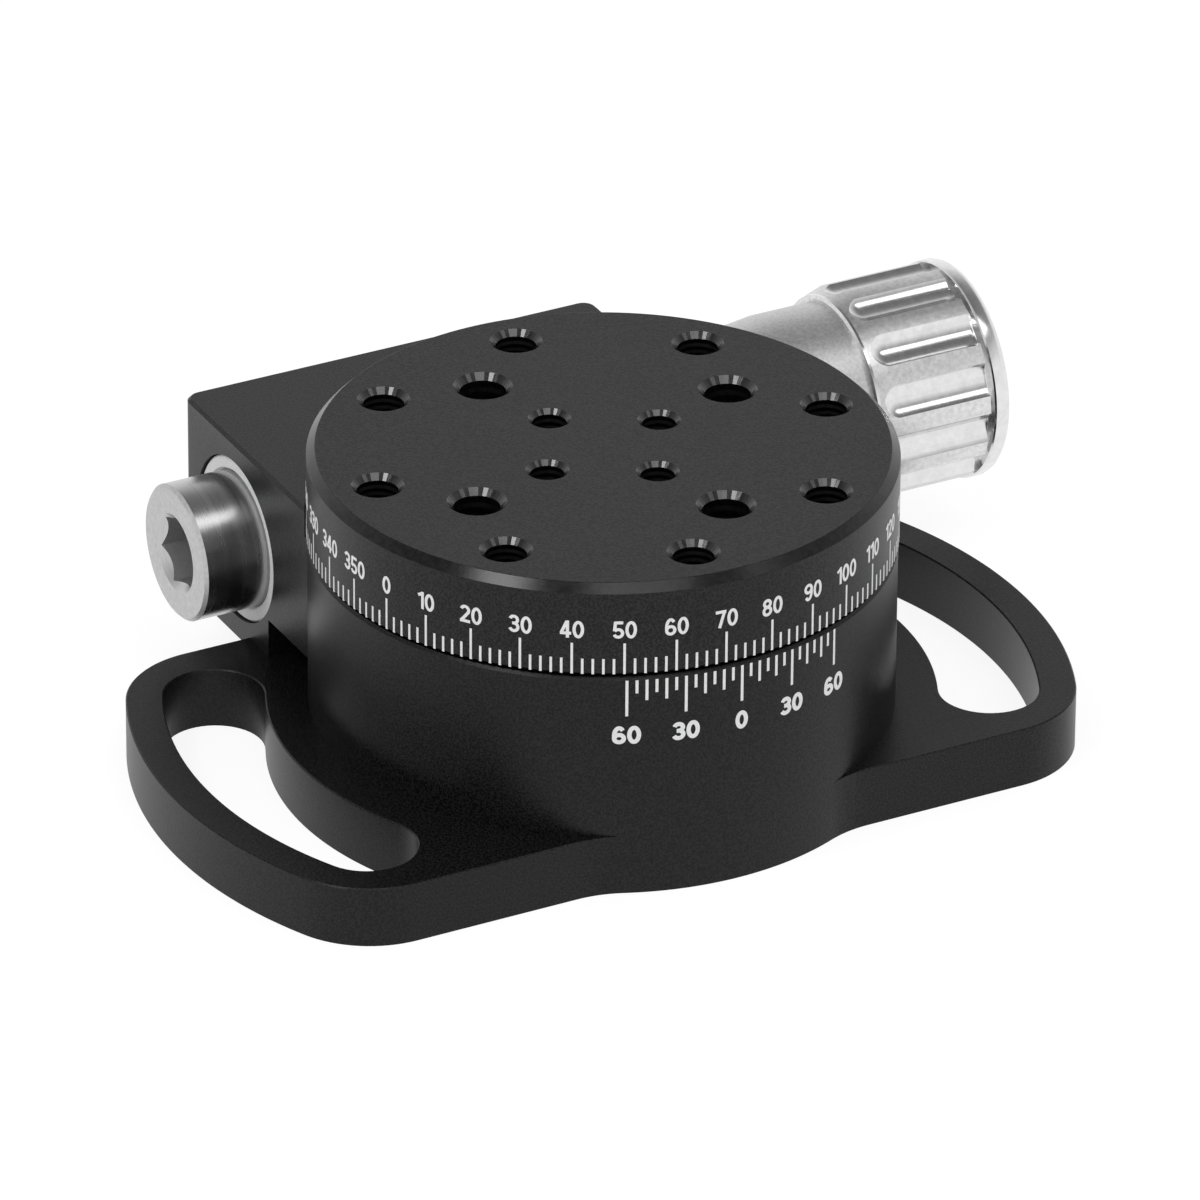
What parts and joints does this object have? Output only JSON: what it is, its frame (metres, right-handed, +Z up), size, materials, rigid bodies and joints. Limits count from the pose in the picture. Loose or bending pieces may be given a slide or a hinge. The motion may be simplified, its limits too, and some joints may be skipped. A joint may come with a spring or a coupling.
{
  "type": "rotation stage",
  "caption": "Manual rotation stage: a drilled round table on a slotted base plate, turned by a worm with a fluted knob and a hex drive socket.",
  "frame": {"origin": "on the table's rotation axis, at the underside of the base plate", "axes": "+Z up along the rotation axis; +X along the worm towards the knob, so the hex socket is at -X; +Y towards the worm housing, so the vernier is at the front, -Y"},
  "size_m": [0.1088, 0.0734, 0.0358],
  "materials": {
    "base_black": "black anodised, fine blasted grain",
    "table_black": "black anodised, fine blasted grain",
    "housing_black": "black anodised, fine blasted grain",
    "turned_steel": "turned, fine rings",
    "bright_steel": "drawn and milled, bright",
    "bush_steel": "fine ground, matt",
    "bearing_steel": "ground",
    "dark_screw": "black oxide",
    "bronze": "machined bronze",
    "cage_brass": "stamped brass"
  },
  "bodies": {
    "base": {"base_body": "base_black", "worm_housing": "housing_black", "housing_screws": "dark_screw", "dowel_pins": "bearing_steel", "left_bush": "bush_steel", "thrust_washer": "bearing_steel", "right_bush": "bronze", "upper_outer_ring": "bearing_steel", "lower_outer_ring": "bearing_steel", "bearing_clamp_ring": "dark_screw", "base_cover": "base_black", "cover_screws": "dark_screw"},
    "table": {"table_plate": "table_black", "spindle": "bearing_steel", "spindle_screws": "dark_screw", "worm_wheel": "bronze", "wheel_nut": "bearing_steel", "spindle_nut": "bearing_steel", "upper_inner_ring": "bearing_steel", "lower_inner_ring": "bearing_steel"},
    "upper_race": {"upper_balls": "bearing_steel", "upper_cage": "cage_brass"},
    "lower_race": {"lower_balls": "bearing_steel", "lower_cage": "cage_brass"},
    "worm_line": {"worm_shaft": "bearing_steel", "worm": "turned_steel", "worm_spacer": "bearing_steel", "worm_collar": "bearing_steel", "hex_hub": "turned_steel", "hub_pin": "bearing_steel", "knob_neck": "turned_steel", "knob_set_screw": "dark_screw", "knob": "bright_steel", "knob_end_ring": "bright_steel", "knob_end_screw": "dark_screw"}
  },
  "joints": [
    {"name": "table_spin", "type": "hinge", "parent": "base", "child": "table", "pos_m": [0, 0, 0.0256], "axis": [0, 0, 1], "continuous": true},
    {"name": "worm_spin", "type": "hinge", "parent": "base", "child": "worm_line", "pos_m": [0, 0.0302, 0.017], "axis": [1, 0, 0], "continuous": true},
    {"name": "upper_race_spin", "type": "hinge", "parent": "base", "child": "upper_race", "pos_m": [0, 0, 0.0229], "axis": [0, 0, 1], "continuous": true},
    {"name": "lower_race_spin", "type": "hinge", "parent": "base", "child": "lower_race", "pos_m": [0, 0, 0.00725], "axis": [0, 0, 1], "continuous": true}
  ],
  "couplings": [
    {"joint": "worm_spin", "follows": "table_spin", "ratio": 96},
    {"joint": "upper_race_spin", "follows": "table_spin", "ratio": 0.4696},
    {"joint": "lower_race_spin", "follows": "table_spin", "ratio": 0.44}
  ]
}
